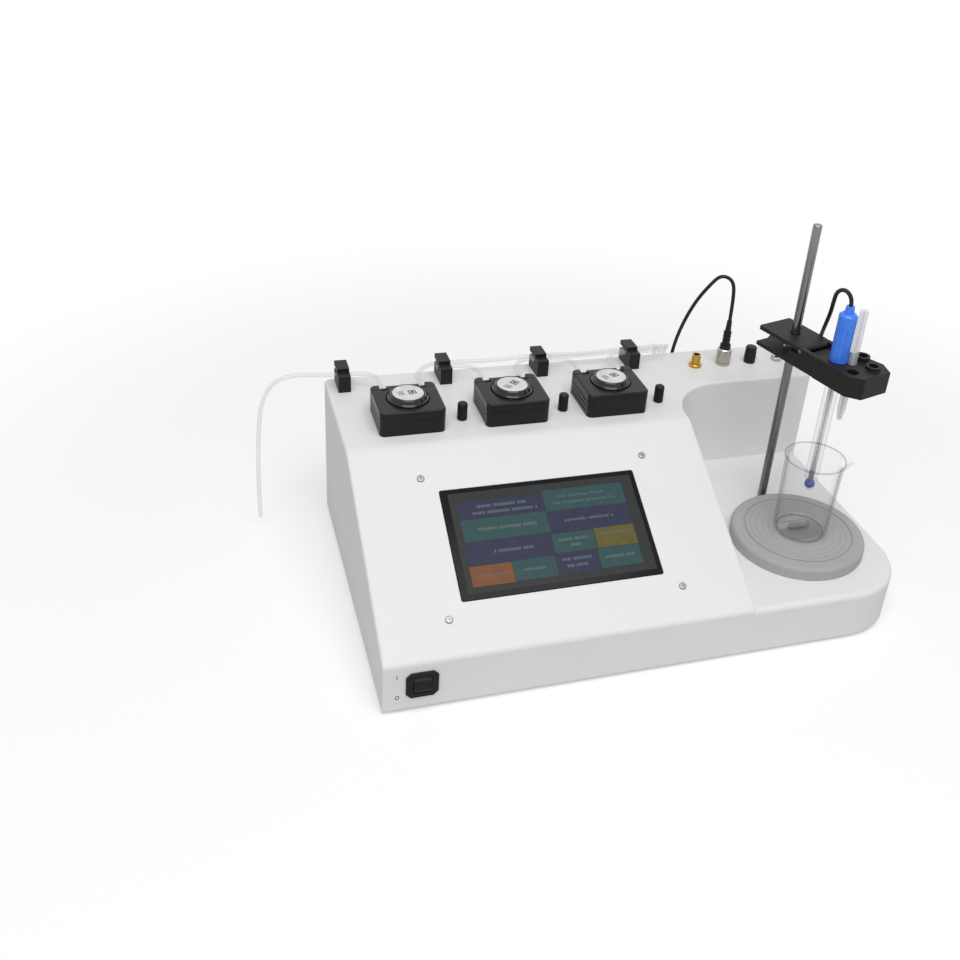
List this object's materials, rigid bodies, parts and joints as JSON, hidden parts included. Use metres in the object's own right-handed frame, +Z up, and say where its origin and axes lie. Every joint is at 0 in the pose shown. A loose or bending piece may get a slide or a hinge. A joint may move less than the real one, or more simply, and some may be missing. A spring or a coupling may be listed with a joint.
{
  "type": "automatic titrator",
  "caption": "Bench titrator: sloped display housing, flip-top peristaltic pumps, magnetic stirrer with a beaker, and a stand rod with an electrode holder.",
  "frame": {"origin": "centre of the housing's plan, on the bench under the feet", "axes": "+X to the right along the front, +Y to the back, +Z up"},
  "size_m": [0.5449, 0.3195, 0.329],
  "materials": {
    "housing_paint": "satin",
    "base_steel": "satin",
    "foot_rubber": "matte",
    "screw_steel": "satin",
    "window_glass": "gloss",
    "module": "matte",
    "frame_plastic": "matte",
    "circuit_board": "satin",
    "supply_case": "satin",
    "black_plastic": "satin",
    "pump_black": "gloss",
    "roller_plastic": "satin",
    "clear_tube": "gloss",
    "motor_steel": "satin",
    "gold_contact": "polished",
    "nickel": "polished",
    "stirrer_grey": "matte",
    "magnet": "satin",
    "white_polymer": "satin",
    "rod_steel": "brushed",
    "holder_black": "matte",
    "electrode_glass": "polished",
    "cap_blue": "gloss",
    "translucent_white": "satin",
    "beaker_glass": "polished",
    "lead_black": "satin"
  },
  "bodies": {
    "main": {"housing_shell": "housing_paint", "base_plate": "base_steel", "rubber_feet": "foot_rubber", "base_screws": "screw_steel", "display_screws": "screw_steel", "display_window": "window_glass", "display_module": "module", "display_frame": "frame_plastic", "trim_controls": "frame_plastic", "control_board": "circuit_board", "power_supply": "supply_case", "power_inlet": "black_plastic", "switch_frame": "black_plastic", "tube_combs": "black_plastic", "ground_post": "black_plastic", "data_port": "nickel", "bnc_socket": "nickel", "temperature_socket": "nickel", "signal_socket": "gold_contact", "pump_1_body": "pump_black", "pump_1_tube": "clear_tube", "pump_2_body": "pump_black", "pump_2_tube": "clear_tube", "pump_3_body": "pump_black", "pump_3_tube": "clear_tube", "pump_motors": "motor_steel", "stir_motor": "motor_steel", "stir_plate": "stirrer_grey", "stand_rod": "rod_steel", "bnc_plug": "lead_black", "electrode_cable_lower": "lead_black"},
    "pump_1_turning": {"pump_1_rotor": "pump_black"},
    "pump_1_roller_a_body": {"pump_1_roller_a": "roller_plastic"},
    "pump_1_roller_b_body": {"pump_1_roller_b": "roller_plastic"},
    "pump_1_lid": {"pump_1_cover": "pump_black"},
    "pump_2_turning": {"pump_2_rotor": "pump_black"},
    "pump_2_roller_a_body": {"pump_2_roller_a": "roller_plastic"},
    "pump_2_roller_b_body": {"pump_2_roller_b": "roller_plastic"},
    "pump_2_lid": {"pump_2_cover": "pump_black"},
    "pump_3_turning": {"pump_3_rotor": "pump_black"},
    "pump_3_roller_a_body": {"pump_3_roller_a": "roller_plastic"},
    "pump_3_roller_b_body": {"pump_3_roller_b": "roller_plastic"},
    "pump_3_lid": {"pump_3_cover": "pump_black"},
    "rocker": {"switch_rocker": "black_plastic"},
    "knob_1": {"trim_knob_1": "black_plastic"},
    "knob_2": {"trim_knob_2": "black_plastic"},
    "knob_3": {"trim_knob_3": "black_plastic"},
    "clip": {"clip_spring": "screw_steel"},
    "holder": {"holder_body": "holder_black", "clip_pin": "screw_steel", "electrode_shaft": "electrode_glass", "electrode_cap": "cap_blue", "dosing_tube": "translucent_white", "electrode_cable_upper": "lead_black"},
    "release_leaf": {"release_plate": "holder_black"},
    "magnet": {"stir_magnet": "magnet"},
    "beaker_body": {"beaker": "beaker_glass"},
    "stir_bar_body": {"stir_bar": "white_polymer"},
    "ground_thumb_nut": {"ground_nut": "black_plastic"},
    "bayonet": {"bnc_nut": "nickel"}
  },
  "joints": [
    {"name": "pump_1_turn", "type": "hinge", "parent": "main", "child": "pump_1_turning", "pos_m": [-0.1775, 0.0605, 0.149], "axis": [0, 0, 1], "continuous": true},
    {"name": "pump_1_roller_a_turn", "type": "hinge", "parent": "pump_1_turning", "child": "pump_1_roller_a_body", "pos_m": [-0.1775, 0.0715, 0.152], "axis": [0, 0, 1], "continuous": true},
    {"name": "pump_1_roller_b_turn", "type": "hinge", "parent": "pump_1_turning", "child": "pump_1_roller_b_body", "pos_m": [-0.1775, 0.0495, 0.152], "axis": [0, 0, 1], "continuous": true},
    {"name": "pump_1_cover_hinge", "type": "hinge", "parent": "main", "child": "pump_1_lid", "pos_m": [-0.1775, 0.0835, 0.1586], "axis": [-1, 0, 0], "range_deg": [0, 95]},
    {"name": "pump_2_turn", "type": "hinge", "parent": "main", "child": "pump_2_turning", "pos_m": [-0.0825, 0.0605, 0.149], "axis": [0, 0, 1], "continuous": true},
    {"name": "pump_2_roller_a_turn", "type": "hinge", "parent": "pump_2_turning", "child": "pump_2_roller_a_body", "pos_m": [-0.0825, 0.0715, 0.152], "axis": [0, 0, 1], "continuous": true},
    {"name": "pump_2_roller_b_turn", "type": "hinge", "parent": "pump_2_turning", "child": "pump_2_roller_b_body", "pos_m": [-0.0825, 0.0495, 0.152], "axis": [0, 0, 1], "continuous": true},
    {"name": "pump_2_cover_hinge", "type": "hinge", "parent": "main", "child": "pump_2_lid", "pos_m": [-0.0825, 0.0835, 0.1586], "axis": [-1, 0, 0], "range_deg": [0, 95]},
    {"name": "pump_3_turn", "type": "hinge", "parent": "main", "child": "pump_3_turning", "pos_m": [0.0125, 0.0605, 0.149], "axis": [0, 0, 1], "continuous": true},
    {"name": "pump_3_roller_a_turn", "type": "hinge", "parent": "pump_3_turning", "child": "pump_3_roller_a_body", "pos_m": [0.0125, 0.0715, 0.152], "axis": [0, 0, 1], "continuous": true},
    {"name": "pump_3_roller_b_turn", "type": "hinge", "parent": "pump_3_turning", "child": "pump_3_roller_b_body", "pos_m": [0.0125, 0.0495, 0.152], "axis": [0, 0, 1], "continuous": true},
    {"name": "pump_3_cover_hinge", "type": "hinge", "parent": "main", "child": "pump_3_lid", "pos_m": [0.0125, 0.0835, 0.1586], "axis": [-1, 0, 0], "range_deg": [0, 95]},
    {"name": "switch_rock", "type": "hinge", "parent": "main", "child": "rocker", "pos_m": [-0.2072, -0.146, 0.0265], "axis": [1, 0, 0], "range_deg": [0, 18]},
    {"name": "trim_knob_1_turn", "type": "hinge", "parent": "main", "child": "knob_1", "pos_m": [-0.1295, 0.054, 0.147], "axis": [0, 0, 1], "range_deg": [-135, 135]},
    {"name": "trim_knob_2_turn", "type": "hinge", "parent": "main", "child": "knob_2", "pos_m": [-0.0345, 0.054, 0.147], "axis": [0, 0, 1], "range_deg": [-135, 135]},
    {"name": "trim_knob_3_turn", "type": "hinge", "parent": "main", "child": "knob_3", "pos_m": [0.0605, 0.054, 0.147], "axis": [0, 0, 1], "range_deg": [-135, 135]},
    {"name": "holder_height", "type": "slide", "parent": "main", "child": "clip", "axis": [0, 0, 1], "range_m": [0, 0.06]},
    {"name": "holder_swivel", "type": "hinge", "parent": "clip", "child": "holder", "pos_m": [0.161, 0.004, 0.213], "axis": [0, 0, 1], "range_deg": [-20, 0]},
    {"name": "release_squeeze", "type": "hinge", "parent": "holder", "child": "release_leaf", "pos_m": [0.16777, -0.02007, 0.2239], "axis": [-0.9627, -0.2706, 0], "range_deg": [0, 6], "stiffness_Nm_per_rad": 0.6, "springref_deg": -4.58, "deforming": ["clip_spring"]},
    {"name": "stir_drive", "type": "hinge", "parent": "main", "child": "magnet", "pos_m": [0.1615, -0.064, 0.036], "axis": [0, 0, 1], "continuous": true},
    {"name": "beaker_lift", "type": "slide", "parent": "main", "child": "beaker_body", "axis": [0, 0, 1], "range_m": [0, 0.02]},
    {"name": "stir_bar_turn", "type": "hinge", "parent": "beaker_body", "child": "stir_bar_body", "pos_m": [0.1615, -0.064, 0.0648], "axis": [0, 0, 1], "continuous": true},
    {"name": "ground_nut_turn", "type": "hinge", "parent": "main", "child": "ground_thumb_nut", "pos_m": [0.1878, 0.116, 0.149], "axis": [0, 0, 1], "range_deg": [0, 360]},
    {"name": "bayonet_turn", "type": "hinge", "parent": "main", "child": "bayonet", "pos_m": [0.1575, 0.116, 0.149], "axis": [0, 0, 1], "range_deg": [0, 90]}
  ],
  "couplings": [
    {"joint": "pump_1_roller_a_turn", "follows": "pump_1_turn", "ratio": -3.5},
    {"joint": "pump_1_roller_b_turn", "follows": "pump_1_turn", "ratio": -3.5},
    {"joint": "pump_2_roller_a_turn", "follows": "pump_2_turn", "ratio": -3.5},
    {"joint": "pump_2_roller_b_turn", "follows": "pump_2_turn", "ratio": -3.5},
    {"joint": "pump_3_roller_a_turn", "follows": "pump_3_turn", "ratio": -3.5},
    {"joint": "pump_3_roller_b_turn", "follows": "pump_3_turn", "ratio": -3.5},
    {"joint": "stir_bar_turn", "follows": "stir_drive", "ratio": 1}
  ]
}
